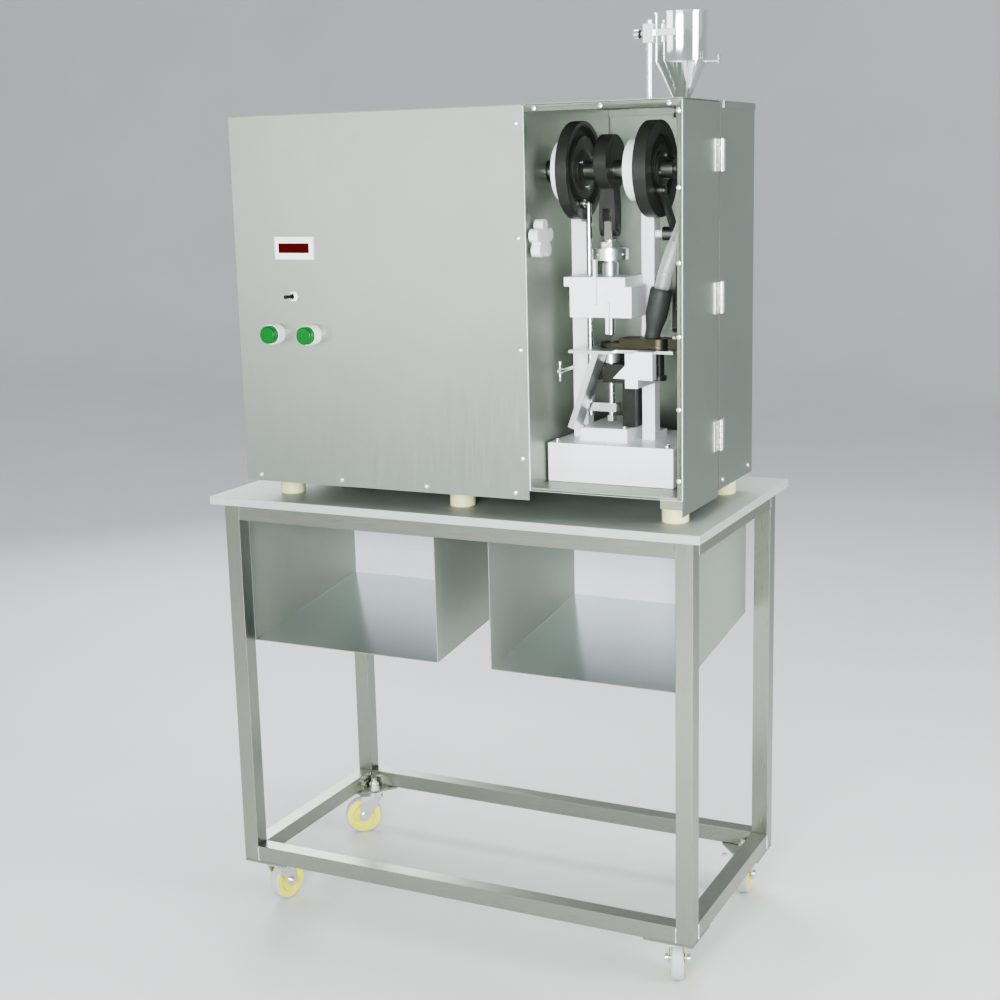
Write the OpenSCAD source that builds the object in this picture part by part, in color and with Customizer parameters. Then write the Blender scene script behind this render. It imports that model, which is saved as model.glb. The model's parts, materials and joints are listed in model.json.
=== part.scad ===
// Single-punch tablet press in a sheet steel cabinet, on a wheeled worktop trolley.
// Millimetres, +Z up, -Y is the operator's side, floor at Z = 0.

/* [Trolley] */
// Width of the worktop
worktop_w = 925; // [900:5:960]
// Depth of the worktop
worktop_d = 490; // [480:5:520]
// Height of the worktop above the floor
worktop_h = 800; // [760:5:850]
// Side of the square frame tube
tube = 30; // [25:1:35]
// Overall diameter of a caster wheel
wheel_dia = 75; // [65:1:80]

/* [Cabinet] */
// Width of the cabinet
cab_w = 810; // [806:1:820]
// Depth of the cabinet
cab_d = 360; // [355:1:370]
// Height of the cabinet skin
cab_h = 625; // [615:1:640]
// Gap from the worktop to the bottom edge of the cabinet skin
cab_gap = 36; // [30:1:45]
// Width of the closed drive compartment on the left
drive_w = 549; // [545:1:549]

/* [Press] */
// Throw of the main eccentric: half the stroke of the upper ram
throw = 12; // [8:0.5:12]
// How far the lower punch drops to fill the die
fill_depth = 10; // [6:0.5:12]
// Diameter of both punch tips
punch_dia = 12; // [8:0.5:14]
// Outside diameter of the hopper
hopper_dia = 80; // [70:1:84]

/* [Hidden] */

$fn = 64;
SHEET = 1.5;            // cabinet sheet thickness
FIT = 0.05;             // radial running clearance
GAP = 1;                // gap round doors and covers

// The plan centre of the trolley is set back, so that the push buttons, which stand out
// furthest to the front, are inside a box that is centred on the origin.
button_reach = 32;
cab_x = -377;
cab_y = 2 - worktop_d / 2;
front_overhang = button_reach - (cab_y + worktop_d / 2);
plan_shift = front_overhang / 2;
cab_z = worktop_h + cab_gap;

// Trolley frame
worktop_edge = 15;
overhang_x = 17.5;
overhang_y = 20;
leg_x = worktop_w / 2 - overhang_x;
leg_y = worktop_d / 2 - overhang_y;
leg_bottom = 97;
worktop_under = worktop_h - 2;
top_rail_h = 43;
lower_rail_h = 30;
box_top = worktop_under - top_rail_h;
box_drop = 241;
box_rise = 42;
box_y0 = -172;
box_y1 = 194.5;
box_t = 1.5;
corner_plate_t = 4;
corner_plate_size = 88;
stem_inset = 42;
CORNERS = [[-1, -1], [1, -1], [-1, 1], [1, 1]];
// Angle of each caster about its stem at rest: front left, front right, back left, back right
CASTER_YAW = [80, 108, 215, 100];
caster_trail = 24;
wheel_w = 24;
hub_dia = 54;
axle_dia = 8;

// Cabinet levels and places, from its lower front left corner
floor_z = 17;
floor_t = 3;
floor_top = floor_z + floor_t;
top_z = cab_h - SHEET;
wall_z = top_z;
door_split = 177;
door_low = -10;
window_low = floor_z - 1;
door_frame_w = 9;
window_screw_in = 5;
door_high = top_z - GAP;
window_t = 4;
window_x = drive_w + GAP;
hinge_h = 50;
HINGE_Z = [93, 317, 541];
hinge_axis = [cab_w + 4, door_split];
hinge_r = 4;
hinge_pin_r = 2;
WINDOW_TOP_SCREWS = [570, 680, 790];
WINDOW_SIDE_SCREWS = [48, 159.6, 271.2, 382.8, 494.4, 606];
PANEL_SIDE_SCREWS = [68, 244, 420, 596];
PANEL_LOW_SCREWS = [29, 194, 359, 524];
SIDE_SCREWS = [[200, 14.5], [338, 14.5]];
panel_screw_x = 538;
FEET_X = [40, 385, 770];
FEET_Y = [81, 325];
foot_r = 22;
foot_h = 24;
screw_head_r = 4;
screw_r = 2;
hole_r = 2.1;

KNOB = [36, 417];
knob_stud_r = 4;

// Controls on the front panel
COUNTER = [122, 405];
TOGGLE = [116, 324];
START = [77, 260];
STOP = [150, 260];
button_r = 15;
button_travel = 4;

// Press mechanism, in the same cabinet frame
ram_x = 652;
ram_y = 105;
shaft_z = 522;
shaft_r = 15;
ecc_z = shaft_z + throw;
ecc_r = 30;
strap_r = 43;
wrist_z = 432;
LEFT_CHEEK = [570, 588];
LEFT_POST = [570, 596];
left_post_top = 440;
boss_r = 49;
RIGHT_CHEEK = [692, 714];
column_y0 = 138;
column_y1 = 162;
base_top = 85;
pedestal_top = base_top + 23;
ram_collar_r = 7.5;
lift_cam_x = 590;
lift_cam_t = 19.5;
lift_cam_r = 77;
feed_cam_x = 718;
feed_cam_t = 22;
feed_cam_r = 75;
groove_depth = 8;
roller_r = 7;
lift_rod_x = 615.6;
lift_groove_r = 52;
lever_pivot = [150, 420];
lever_roller = [88, 490];
lever_swing = 8;
lever_x = [feed_cam_x + feed_cam_t + 3, feed_cam_x + feed_cam_t + 9];
platform_top = 241;
platform_t = 5;
PLATFORM_SCREWS = [[610, 52], [610, 130], [764, 130], [764, 72]];
wedge_x = [678, 745];
wedge_y = [45, 63];
die_bore_r = punch_dia / 2 + FIT;
punch_tip_z = platform_top - 4 + 2 * throw;
punch_l = 30;
shoe_pivot = [736, 100];
shoe_h = 16;
shoe_toe_h = 8;
shoe_body_l = 62;
boot_foot = [shoe_pivot[0] - 12, shoe_pivot[1]];
boot_lean = 12;
shoe_gap = 0.4;
hopper_at = [767, 120];
hopper_r = hopper_dia / 2;
hopper_cone_h = 58;
hopper_tube_h = 70;
spout_r = 12;
pulley_x = 508;
pulley_w = 24;
main_pulley_r = 90;
motor_pulley_r = 34;
motor_y = 160;
motor_z = 130;
cable_hole = [90, 70];
STEEL = [0.70, 0.73, 0.71];
IVORY = [0.93, 0.94, 0.92];

// ---------- shared shapes ----------
module in_plan() { translate([0, plan_shift, 0]) children(); }
module in_cabinet() { in_plan() translate([cab_x, cab_y, cab_z]) children(); }
module block(x, y, z) { translate([x[0], y[0], z[0]]) cube([x[1] - x[0], y[1] - y[0], z[1] - z[0]]); }
module rod_x(x, y, z, r) { translate([x[0], y, z]) rotate([0, 90, 0]) cylinder(r = r, h = x[1] - x[0]); }
module rod_y(x, y, z, r) { translate([x, y[0], z]) rotate([-90, 0, 0]) cylinder(r = r, h = y[1] - y[0]); }
module rod_z(x, y, z, r) { translate([x, y, z[0]]) cylinder(r = r, h = z[1] - z[0]); }
module hex_z(x, y, z, r) { translate([x, y, z[0]]) cylinder(r = r, h = z[1] - z[0], $fn = 6); }
// Extrudes a Y-Z outline along X
module profile_x(x) {
    translate([x[0], 0, 0]) rotate([90, 0, 90]) linear_extrude(height = x[1] - x[0]) children();
}
// Mirrors what is drawn for the back right corner into another corner
module mirrored_corner(c) { mirror([c[0] < 0 ? 1 : 0, 0, 0]) mirror([0, c[1] < 0 ? 1 : 0, 0]) children(); }
module tube_box(x, y, z, wall, along) {
    bore = 1;
    difference() {
        block(x, y, z);
        block([x[0] + (along == "x" ? -bore : wall), x[1] - (along == "x" ? -bore : wall)],
            [y[0] + (along == "y" ? -bore : wall), y[1] - (along == "y" ? -bore : wall)],
            [z[0] + (along == "z" ? -bore : wall), z[1] - (along == "z" ? -bore : wall)]);
    }
}
module dome_screw(at, axis_turn, grip) {
    translate(at) rotate(axis_turn) {
        rotate_extrude($fn = 32)
            polygon([[0, 0], [screw_head_r, 0], [screw_head_r, 1], [3.1, 2], [1.5, 2.5], [0, 2.6]]);
        translate([0, 0, -grip]) cylinder(r = screw_r, h = grip + 0.5, $fn = 24);
    }
}
TO_FRONT = [90, 0, 0];
TO_RIGHT = [0, 90, 0];

// ---------- trolley ----------
module trolley_legs() {
    color(STEEL) in_plan() for (c = CORNERS) mirrored_corner(c)
        tube_box([leg_x - tube, leg_x], [leg_y - tube, leg_y], [leg_bottom, worktop_under], 2, "z");
}

module rail_ring(z) {
    span_x = leg_x - tube;
    span_y = leg_y - tube;
    for (s = [-1, 1]) {
        mirror([0, s < 0 ? 1 : 0, 0]) tube_box([-span_x, span_x], [leg_y - tube, leg_y], z, 2, "x");
        mirror([s < 0 ? 1 : 0, 0, 0]) tube_box([leg_x - tube, leg_x], [-span_y, span_y], z, 2, "y");
    }
}

module trolley_rails() {
    color(STEEL) in_plan() {
        rail_ring([leg_bottom, leg_bottom + lower_rail_h]);
        rail_ring([worktop_under - top_rail_h, worktop_under]);
    }
}

module corner_plate_outline() {
    size = corner_plate_size;
    polygon([[0, 0], [-size, 0], [-size, -tube], [-tube - 8, -size], [0, -size]]);
}

module corner_plates() {
    color(STEEL) in_plan() for (c = CORNERS) mirrored_corner(c) difference() {
        translate([leg_x, leg_y, leg_bottom - corner_plate_t])
            linear_extrude(height = corner_plate_t) corner_plate_outline();
        rod_z(leg_x - stem_inset, leg_y - stem_inset, [0, leg_bottom + 1], 6.2);
    }
}

module worktop() {
    w = worktop_w / 2;
    d = worktop_d / 2;
    wall = 2;
    color([0.72, 0.76, 0.74]) in_plan() difference() {
        block([-w, w], [-d, d], [worktop_h - worktop_edge, worktop_h]);
        block([-w + wall, w - wall], [-d + wall, d - wall], [worktop_h - worktop_edge - 1, worktop_under]);
    }
}

// Sheet steel box, open at the front, its floor falling towards the opening. A wall below a
// side rail stops there; any other wall goes on up, behind the front rail, to a flange under
// the worktop.
module storage_box(x) {
    z0 = box_top - box_drop;
    slope = box_rise / (box_y1 - box_y0);
    open_y = box_y0 - 1;
    inner_y = box_y1 - box_t;
    function floor_at(y) = [y, z0 + box_t / cos(atan(slope)) + (y - box_y0) * slope];
    flange = 16;
    hang_y = [box_y0, leg_y - tube - 4];
    color([0.66, 0.70, 0.67]) in_plan() {
        difference() {
            profile_x(x)
                polygon([[box_y0, z0], [box_y1, z0 + box_rise], [box_y1, box_top], [box_y0, box_top]]);
            profile_x([x[0] + box_t, x[1] - box_t])
                polygon([floor_at(open_y), floor_at(inner_y), [inner_y, box_top + 1], [open_y, box_top + 1]]);
        }
        for (s = [0, 1]) {
            wall_x = s == 0 ? x[0] : x[1] - box_t;
            flange_x = s == 0 ? x[0] : x[1] - flange;
            if (abs(wall_x) < leg_x - tube - flange) {
                block([wall_x, wall_x + box_t], hang_y, [box_top, worktop_under - box_t]);
                block([flange_x, flange_x + flange], hang_y, [worktop_under - box_t, worktop_under]);
            }
        }
    }
}
module storage_box_left() { storage_box([-432, -46]); }
module storage_box_right() { storage_box([58, 400]); }

// ---------- casters ----------
function stem_at(i) = [CORNERS[i][0] * (leg_x - stem_inset), CORNERS[i][1] * (leg_y - stem_inset)];

module at_caster(i) {
    in_plan() translate([stem_at(i)[0], stem_at(i)[1], 0]) rotate([0, 0, CASTER_YAW[i]]) children();
}

module caster_stems() {
    color([0.75, 0.77, 0.78]) for (i = [0 : 3]) at_caster(i) {
        rod_z(0, 0, [76, 112], 6);
        difference() {
            rod_z(0, 0, [leg_bottom - corner_plate_t - 4, leg_bottom - corner_plate_t], 15);
            rod_z(0, 0, [80, 96], 6);
        }
        difference() {
            hex_z(0, 0, [leg_bottom, leg_bottom + 8], 10.5);
            rod_z(0, 0, [leg_bottom - 1, leg_bottom + 9], 6);
        }
    }
}

// Fork with a dome over the ball race; the wheel trails behind the stem along the fork's +X
module caster_fork(i) {
    crown_z = 82;
    inner = wheel_w / 2 + 1.5;
    plate = 2.5;
    axle_z = wheel_dia / 2;
    color([0.86, 0.88, 0.88]) at_caster(i) difference() {
        union() {
            rod_z(0, 0, [crown_z - 4, crown_z + 6], 17);
            block([-17, 30], [-inner - plate, inner + plate], [crown_z - 4, crown_z - 1]);
            for (s = [-1, 1]) mirror([0, s < 0 ? 1 : 0, 0]) {
                translate([0, inner + plate, 0]) rotate([90, 0, 0]) linear_extrude(height = plate)
                    polygon([[-16, crown_z - 1], [-6, 62], [caster_trail - 11, axle_z - 4],
                        [caster_trail - 5, axle_z - 11], [caster_trail + 5, axle_z - 11],
                        [caster_trail + 11, axle_z - 4], [30, 62], [30, crown_z - 1]]);
                rod_y(caster_trail, [inner + plate, inner + plate + 5], axle_z, 6.5);
            }
            rod_y(caster_trail, [-inner - plate - 1, inner + plate + 1], axle_z, axle_dia / 2);
        }
        rod_z(0, 0, [75, 90], 6 + FIT);
    }
}

module caster_wheel(i) {
    half = wheel_w / 2;
    axle_z = wheel_dia / 2;
    r = wheel_dia / 2;
    at_caster(i) translate([caster_trail, 0, axle_z]) rotate([90, 0, 0]) {
        color([0.72, 0.74, 0.72]) rotate_extrude() polygon([[hub_dia / 2, -half + 1], [r - 3, -half + 1],
            [r, -half + 4], [r, half - 4], [r - 3, half - 1], [hub_dia / 2, half - 1]]);
        color([0.95, 0.93, 0.30]) rotate_extrude() polygon([[axle_dia / 2 + FIT, -half], [9, -half],
            [11, -half + 3], [20, -half + 4], [hub_dia / 2 - 3, -half + 1], [hub_dia / 2, -half + 1],
            [hub_dia / 2, half - 1], [hub_dia / 2 - 3, half - 1], [20, half - 4], [11, half - 3],
            [9, half], [axle_dia / 2 + FIT, half]]);
    }
}
module caster_fork_fl() { caster_fork(0); }
module caster_fork_fr() { caster_fork(1); }
module caster_fork_bl() { caster_fork(2); }
module caster_fork_br() { caster_fork(3); }
module caster_wheel_fl() { caster_wheel(0); }
module caster_wheel_fr() { caster_wheel(1); }
module caster_wheel_bl() { caster_wheel(2); }
module caster_wheel_br() { caster_wheel(3); }

// ---------- cabinet ----------
module cabinet_floor() {
    color(STEEL) in_cabinet() {
        difference() {
            union() {
                block([SHEET, cab_w - SHEET - GAP], [7, cab_d - SHEET], [floor_z, floor_top]);
                block([SHEET, drive_w], [SHEET, 7], [floor_z, floor_top]);
                block([SHEET, drive_w], [SHEET, 2 * SHEET], [2, floor_z]);
                block([cab_w - 2 * SHEET, cab_w - SHEET], [door_split + 2, cab_d - SHEET], [2, floor_top]);
            }
            for (s = SIDE_SCREWS) rod_x([cab_w - 9, cab_w], s[0], s[1], hole_r);
            for (x = PANEL_LOW_SCREWS) rod_y(x, [0, 9], 11, hole_r);
        }
        for (x = FEET_X, y = FEET_Y) block([x - 19, x + 19], [y - 19, y + 19], [foot_h - cab_gap, floor_z]);
    }
}

module cabinet_feet() {
    color([0.90, 0.91, 0.70]) in_cabinet() for (x = FEET_X, y = FEET_Y)
        translate([x, y, -cab_gap]) rotate_extrude() polygon([[0, 0], [foot_r - 2, 0], [foot_r, 2],
            [foot_r, foot_h - 1], [foot_r - 1, foot_h], [0, foot_h]]);
}

// Left side and back, folded from one sheet
module cabinet_shell() {
    color(STEEL) in_cabinet() difference() {
        union() {
            block([0, SHEET], [SHEET, cab_d], [0, wall_z]);
            block([SHEET, cab_w - SHEET], [cab_d - SHEET, cab_d], [0, wall_z]);
        }
        rod_y(cable_hole[0], [cab_d - 9, cab_d + 1], cable_hole[1], 8);
    }
}

module top_cover() {
    lip = 12;
    color(STEEL) in_cabinet() difference() {
        union() {
            block([0, cab_w], [0, cab_d], [top_z, cab_h]);
            block([cab_w, cab_w + SHEET], [194, cab_d], [cab_h - lip, cab_h]);
            block([2 * SHEET, drive_w - 25], [2 * SHEET, 3 * SHEET], [top_z - lip, top_z]);
            block([2 * SHEET, cab_w - 2 * SHEET], [cab_d - 3 * SHEET, cab_d - 2 * SHEET],
                [top_z - lip, top_z]);
        }
        rod_z(hopper_at[0], hopper_at[1], [600, 640], spout_r + 1);
    }
}

module front_panel() {
    color([0.73, 0.77, 0.74]) in_cabinet() difference() {
        union() {
            block([0, drive_w], [0, SHEET], [0, wall_z]);
            block([2 * SHEET, 3 * SHEET], [SHEET, 12], [floor_top + 2, wall_z - 14]);
        }
        for (z = PANEL_SIDE_SCREWS) rod_y(panel_screw_x, [-1, 9], z, hole_r);
        for (x = PANEL_LOW_SCREWS) rod_y(x, [-1, 9], 11, hole_r);
        block([COUNTER[0] - 34, COUNTER[0] + 34], [-1, 9], [COUNTER[1] - 16, COUNTER[1] + 16]);
        rod_y(TOGGLE[0], [-1, 9], TOGGLE[1], 6.1);
        for (b = [START, STOP]) rod_y(b[0], [-1, 9], b[1], 11.2);
    }
}

// Wall between the drive compartment and the press chamber
module partition() {
    color(STEEL) in_cabinet() difference() {
        union() {
            block([drive_w - SHEET, drive_w], [SHEET, cab_d - 3 * SHEET], [floor_top, wall_z]);
            block([drive_w - 20, drive_w - SHEET], [SHEET, 2 * SHEET], [floor_top, wall_z]);
        }
        rod_x([drive_w - 9, drive_w + 1], ram_y, shaft_z, shaft_r + 4);
        rod_x([drive_w - 9, drive_w + 1], KNOB[0], KNOB[1], knob_stud_r + FIT);
        for (z = PANEL_SIDE_SCREWS) rod_y(panel_screw_x, [-1, 9], z, hole_r);
    }
}

module right_side_panel() {
    color(STEEL) in_cabinet() difference() {
        block([cab_w - SHEET, cab_w], [door_split + 1, cab_d], [0, wall_z]);
        for (s = SIDE_SCREWS) rod_x([cab_w - 9, cab_w + 1], s[0], s[1], hole_r);
    }
}

module door_leaf() {
    frame_w = door_frame_w;
    color([0.74, 0.78, 0.75]) in_cabinet() difference() {
        union() {
            block([cab_w - SHEET, cab_w], [window_t, door_split - 1], [door_low, door_high]);
            block([cab_w - frame_w, cab_w - SHEET], [window_t, window_t + SHEET], [window_low, door_high]);
            block([window_x, cab_w - frame_w], [window_t, window_t + SHEET],
                [door_high - frame_w, door_high]);
        }
        for (z = WINDOW_SIDE_SCREWS) rod_y(cab_w - window_screw_in, [-1, 9], z, hole_r);
        for (x = WINDOW_TOP_SCREWS) rod_y(x, [-1, 9], door_high - window_screw_in, hole_r);
    }
}

module door_window() {
    color([0.75, 0.88, 0.86, 0.25]) in_cabinet() difference() {
        block([window_x, cab_w], [0, window_t], [window_low, door_high]);
        for (z = WINDOW_SIDE_SCREWS) rod_y(cab_w - window_screw_in, [-1, 9], z, hole_r);
        for (x = WINDOW_TOP_SCREWS) rod_y(x, [-1, 9], door_high - window_screw_in, hole_r);
    }
}

// Knuckles 0, 2 and 4 belong to the fixed leaf, 1 and 3 to the door's leaf
module hinge_half(z, first, side) {
    knuckle = hinge_h / 5;
    leaf_w = 24;
    near = hinge_r + 0.5;
    leaf_t = 2;
    leaf_y = side > 0 ? [door_split + near, door_split + leaf_w] : [door_split - leaf_w, door_split - near];
    web_y = side > 0 ? [door_split, door_split + near] : [door_split - near, door_split];
    block([cab_w, cab_w + leaf_t], leaf_y, [z - hinge_h / 2, z + hinge_h / 2]);
    for (k = [first : 2 : 4]) {
        kz = [z - hinge_h / 2 + k * knuckle + 0.2, z - hinge_h / 2 + (k + 1) * knuckle - 0.2];
        difference() {
            union() {
                rod_z(hinge_axis[0], hinge_axis[1], kz, hinge_r);
                block([cab_w, cab_w + leaf_t], web_y, kz);
            }
            rod_z(hinge_axis[0], hinge_axis[1], [kz[0] - 1, kz[1] + 1], hinge_pin_r + (side > 0 ? 0 : FIT));
        }
    }
}

module hinges_fixed() {
    color([0.80, 0.82, 0.82]) in_cabinet() for (z = HINGE_Z) {
        hinge_half(z, 0, 1);
        rod_z(hinge_axis[0], hinge_axis[1], [z - hinge_h / 2 - 0.8, z + hinge_h / 2 + 0.8], hinge_pin_r);
    }
}

module hinges_door() {
    color([0.80, 0.82, 0.82]) in_cabinet() for (z = HINGE_Z) hinge_half(z, 1, -1);
}

module panel_screws() {
    color([0.90, 0.92, 0.92]) in_cabinet() {
        for (z = PANEL_SIDE_SCREWS) dome_screw([panel_screw_x, 0, z], TO_FRONT, 7);
        for (x = PANEL_LOW_SCREWS) dome_screw([x, 0, 11], TO_FRONT, 6);
        for (s = SIDE_SCREWS) dome_screw([cab_w, s[0], s[1]], TO_RIGHT, 6);
    }
}

module door_screws() {
    color([0.92, 0.94, 0.94]) in_cabinet() {
        for (z = WINDOW_SIDE_SCREWS) dome_screw([cab_w - window_screw_in, 0, z], TO_FRONT, 8);
        for (x = WINDOW_TOP_SCREWS) dome_screw([x, 0, door_high - window_screw_in], TO_FRONT, 8);
    }
}

// Five-lobed hand knob on the partition, turning on its own stud
module clamp_knob() {
    x0 = drive_w + 0.4;
    lobes = 5;
    grip_x = [x0 + 4, x0 + 20];
    color(IVORY) in_cabinet() {
        rod_x([x0, x0 + 4], KNOB[0], KNOB[1], 11);
        rod_x(grip_x, KNOB[0], KNOB[1], 19);
        for (k = [0 : lobes - 1]) {
            a = 90 + 360 * k / lobes;
            rod_x(grip_x, KNOB[0] + 21 * cos(a), KNOB[1] + 21 * sin(a), 10.5);
        }
        rod_x([drive_w - 14, x0], KNOB[0], KNOB[1], knob_stud_r);
    }
}

// ---------- controls ----------
module counter() {
    w = 38;
    h = 19;
    color(IVORY) in_cabinet() difference() {
        union() {
            block([COUNTER[0] - w, COUNTER[0] + w], [-5, 0], [COUNTER[1] - h, COUNTER[1] + h]);
            block([COUNTER[0] - 33.5, COUNTER[0] + 33.5], [0, 48], [COUNTER[1] - 15.5, COUNTER[1] + 15.5]);
        }
        block([COUNTER[0] - 30, COUNTER[0] + 30], [-6, -3], [COUNTER[1] - 8, COUNTER[1] + 8]);
    }
    color([0.35, 0.05, 0.06]) in_cabinet()
        block([COUNTER[0] - 29.5, COUNTER[0] + 29.5], [-4.5, -3], [COUNTER[1] - 7.5, COUNTER[1] + 7.5]);
}

// Toggle switch body with its nut, and the sleeves and contact blocks of the two push buttons
module control_collars() {
    color([0.88, 0.89, 0.88]) in_cabinet() {
        difference() {
            union() {
                rod_y(TOGGLE[0], [-9, 14], TOGGLE[1], 6);
                translate([TOGGLE[0], 0, TOGGLE[1]]) rotate([90, 0, 0]) cylinder(r = 9, h = 4, $fn = 6);
                block([TOGGLE[0] - 7, TOGGLE[0] + 7], [14, 40], [TOGGLE[1] - 13, TOGGLE[1] + 13]);
            }
            rod_y(TOGGLE[0], [-10, 8], TOGGLE[1], 5);
        }
        for (b = [START, STOP]) difference() {
            union() {
                rod_y(b[0], [-20, 0], b[1], button_r + 2);
                rod_y(b[0], [0, 22], b[1], 11);
                block([b[0] - 15, b[0] + 15], [22, 52], [b[1] - 15, b[1] + 15]);
            }
            rod_y(b[0], [-21, -8], b[1], button_r + 0.4);
            rod_y(b[0], [-21, 12], b[1], 6);
        }
    }
}

module toggle_lever() {
    color([0.15, 0.15, 0.16]) in_cabinet() translate([TOGGLE[0], -1, TOGGLE[1]]) rotate([0, 0, -14]) {
        sphere(r = 4.2, $fn = 32);
        cylinder(r = 1.5, h = 9.4, center = true, $fn = 32);
        rotate([90, 0, 0]) {
            cylinder(r1 = 1.9, r2 = 3.2, h = 20, $fn = 32);
            translate([0, 0, 20]) sphere(r = 3.2, $fn = 32);
        }
    }
}

module push_cap(at) {
    color([0.20, 0.68, 0.42]) in_cabinet() {
        translate([at[0], -8 - button_travel, at[1]]) rotate([90, 0, 0]) rotate_extrude()
            polygon([[0, 0], [button_r, 0], [button_r, button_reach - 10 - button_travel],
                [button_r - 2, button_reach - 8 - button_travel], [0, button_reach - 8 - button_travel]]);
        rod_y(at[0], [-8 - button_travel, 6], at[1], 5);
    }
}
module start_button() { push_cap(START); }
module stop_button() { push_cap(STOP); }

// ---------- drive ----------
module drive_motor() {
    motor_r = 68;
    color([0.32, 0.42, 0.46]) in_cabinet() {
        difference() {
            union() {
                rod_x([120, 400], motor_y, motor_z, motor_r);
                rod_x([100, 120], motor_y, motor_z, motor_r - 6);
                rod_x([400, 416], motor_y, motor_z, 50);
                block([150, 370], [motor_y - 62, motor_y + 62], [floor_top, motor_z - 40]);
                block([200, 280], [motor_y - 35, motor_y + 35], [motor_z + 55, motor_z + 92]);
            }
            block([140, 380], [motor_y - 45, motor_y + 45], [floor_top - 1, floor_top + 8]);
            rod_x([390, 430], motor_y, motor_z, 12 + FIT);
        }
    }
}

module groove_wheel(x, y, z, r, w, bore) {
    translate([x, y, z]) rotate([0, 90, 0]) difference() {
        rotate_extrude() polygon([[bore, 0], [r, 0], [r, w / 2 - 6], [r - 9, w / 2 - 3], [r - 9, w / 2 + 3],
            [r, w / 2 + 6], [r, w], [bore, w]]);
        if (r > 60) for (k = [0 : 4])
            rotate([0, 0, 72 * k]) translate([r * 0.55, 0, -1]) cylinder(r = 14, h = w + 2);
    }
}

module motor_pulley() {
    color([0.45, 0.47, 0.48]) in_cabinet() {
        groove_wheel(pulley_x, motor_y, motor_z, motor_pulley_r, pulley_w, 12);
        rod_x([392, pulley_x + pulley_w + 4], motor_y, motor_z, 12);
    }
}

module main_pulley() {
    color([0.45, 0.47, 0.48]) in_cabinet()
        groove_wheel(pulley_x, ram_y, shaft_z, main_pulley_r, pulley_w, shaft_r);
}

// Outline round both pulleys: an arc on each, joined by straight runs between their tangent points
BELT_STEPS = 24;
function arc_points(c, r, a0, a1) = [for (k = [0 : BELT_STEPS]) let (a = a0 + (a1 - a0) * k / BELT_STEPS)
    c + r * [cos(a), sin(a)]];
function belt_outline(r1, r2, dist) = let (tilt = asin((r1 - r2) / dist))
    concat(arc_points([0, 0], r1, 90 - tilt, 270 + tilt), arc_points([dist, 0], r2, tilt - 90, 90 - tilt));

module drive_belt() {
    r1 = main_pulley_r - 8.4;
    r2 = motor_pulley_r - 8.4;
    thick = 6;
    half_w = 2.8;
    apart = [motor_y - ram_y, motor_z - shaft_z];
    color([0.12, 0.12, 0.13]) in_cabinet() translate([pulley_x + pulley_w / 2 - half_w, ram_y, shaft_z])
        rotate([90, 0, 90]) rotate([0, 0, atan2(apart[1], apart[0])]) linear_extrude(height = 2 * half_w)
            difference() {
                polygon(belt_outline(r1 + thick, r2 + thick, norm(apart)));
                polygon(belt_outline(r1, r2, norm(apart)));
            }
}

// ---------- press ----------
module machine_base() {
    color(IVORY) in_cabinet() difference() {
        union() {
            block([drive_w + 3, 771], [68, 250], [floor_top, base_top]);
            block([597, 682], [96, 236], [base_top, pedestal_top]);
        }
        block([drive_w + 13, 761], [78, 240], [floor_top - 1, base_top - 10]);
    }
}

module cheek_profile() {
    polygon([[column_y0, base_top], [column_y1, base_top], [column_y1, shaft_z + 22],
        [ram_y + 20, shaft_z + 44.5], [ram_y, shaft_z - boss_r + 0.5], [column_y0, shaft_z - boss_r + 0.5]]);
    translate([ram_y, shaft_z]) circle(r = boss_r);
}

// One casting: two cheeks with the shaft bearings, joined by rear webs that carry the lower guide
module press_frame() {
    color(IVORY) in_cabinet() difference() {
        union() {
            for (x = [LEFT_CHEEK, RIGHT_CHEEK]) {
                profile_x(x) cheek_profile();
                block(x, [column_y1 - 1, 196], [base_top, base_top + 12]);
            }
            block([LEFT_CHEEK[1], RIGHT_CHEEK[0]], [150, column_y1], [180, 226]);
            block([LEFT_CHEEK[1], RIGHT_CHEEK[0]], [150, column_y1], [305, 350]);
            block(LEFT_POST, [column_y0, column_y1], [base_top, left_post_top]);
            block([ram_x - 11, ram_x + 36], [92, 151], [184, 214]);
            block([ram_x + 14, ram_x + 36], [117, 151], [pedestal_top, 184]);
            block(RIGHT_CHEEK, [wedge_y[1] - 1, column_y0], [180, platform_top - platform_t]);
            translate([0, wedge_y[1], 0]) rotate([90, 0, 0]) linear_extrude(height = wedge_y[1] - wedge_y[0])
                polygon([[wedge_x[0], 198], [wedge_x[1], 196], [wedge_x[1], platform_top],
                    [716, platform_top], [709, 232], [700, 220]]);
            rod_x([RIGHT_CHEEK[1], lever_x[1] + 8], lever_pivot[0], lever_pivot[1], 6);
        }
        for (x = [LEFT_CHEEK, RIGHT_CHEEK]) rod_x([x[0] - 1, x[1] + 1], ram_y, shaft_z, shaft_r + FIT);
        rod_z(ram_x, ram_y, [170, 197], 5 + FIT);
        rod_z(ram_x, ram_y, [196, 220], ram_collar_r + 0.8);
    }
}

module main_shaft() {
    color([0.62, 0.64, 0.66]) in_cabinet() {
        rod_x([pulley_x - 12, 762], ram_y, shaft_z, shaft_r);
        rod_x([ram_x - 11, ram_x + 11], ram_y, ecc_z, ecc_r);
        rod_x([ram_x - 15, ram_x - 11], ram_y, ecc_z, ecc_r + 4);
        rod_x([762, 766], ram_y, shaft_z, 9);
    }
}

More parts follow.
